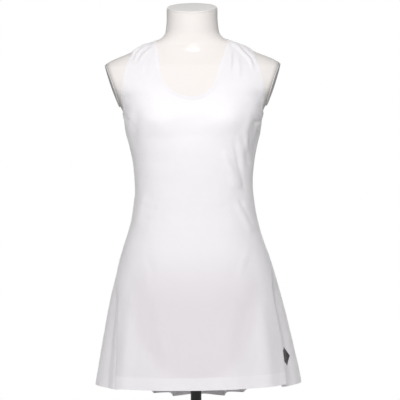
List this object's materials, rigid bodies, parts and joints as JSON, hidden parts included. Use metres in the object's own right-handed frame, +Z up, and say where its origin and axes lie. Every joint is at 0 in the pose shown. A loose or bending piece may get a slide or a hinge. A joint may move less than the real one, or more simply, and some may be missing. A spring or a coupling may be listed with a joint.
{
  "type": "sleeveless athletic dress on a dress form",
  "caption": "Scoop-neck sleeveless athletic dress with a flared skirt, pleated behind, worn by a limbless dress form on a short pole stand.",
  "frame": {"origin": "middle of the flat underside of the stand's base", "axes": "+Z up along the pole, the dress's front faces -Y, the wearer's left is at +X"},
  "size_m": [0.4817, 0.3743, 1.0923],
  "materials": {
    "white_jersey": "matt white polyester knit",
    "white_band": "matt white folded knit band",
    "form_shell": "glossy off-white",
    "form_cap": "satin light grey",
    "black_stand": "satin black"
  },
  "bodies": {
    "root": {"front_panel": "white_jersey", "back_bodice": "white_jersey", "back_skirt": "white_jersey", "neck_band": "white_band", "armhole_band_left": "white_band", "armhole_band_right": "white_band", "form_torso": "form_shell", "neck_cap": "form_cap", "arm_cap_left": "form_cap", "arm_cap_right": "form_cap", "form_socket": "black_stand", "stand_pole": "black_stand", "stand_collar": "black_stand", "stand_base": "black_stand"}
  },
  "joints": []
}
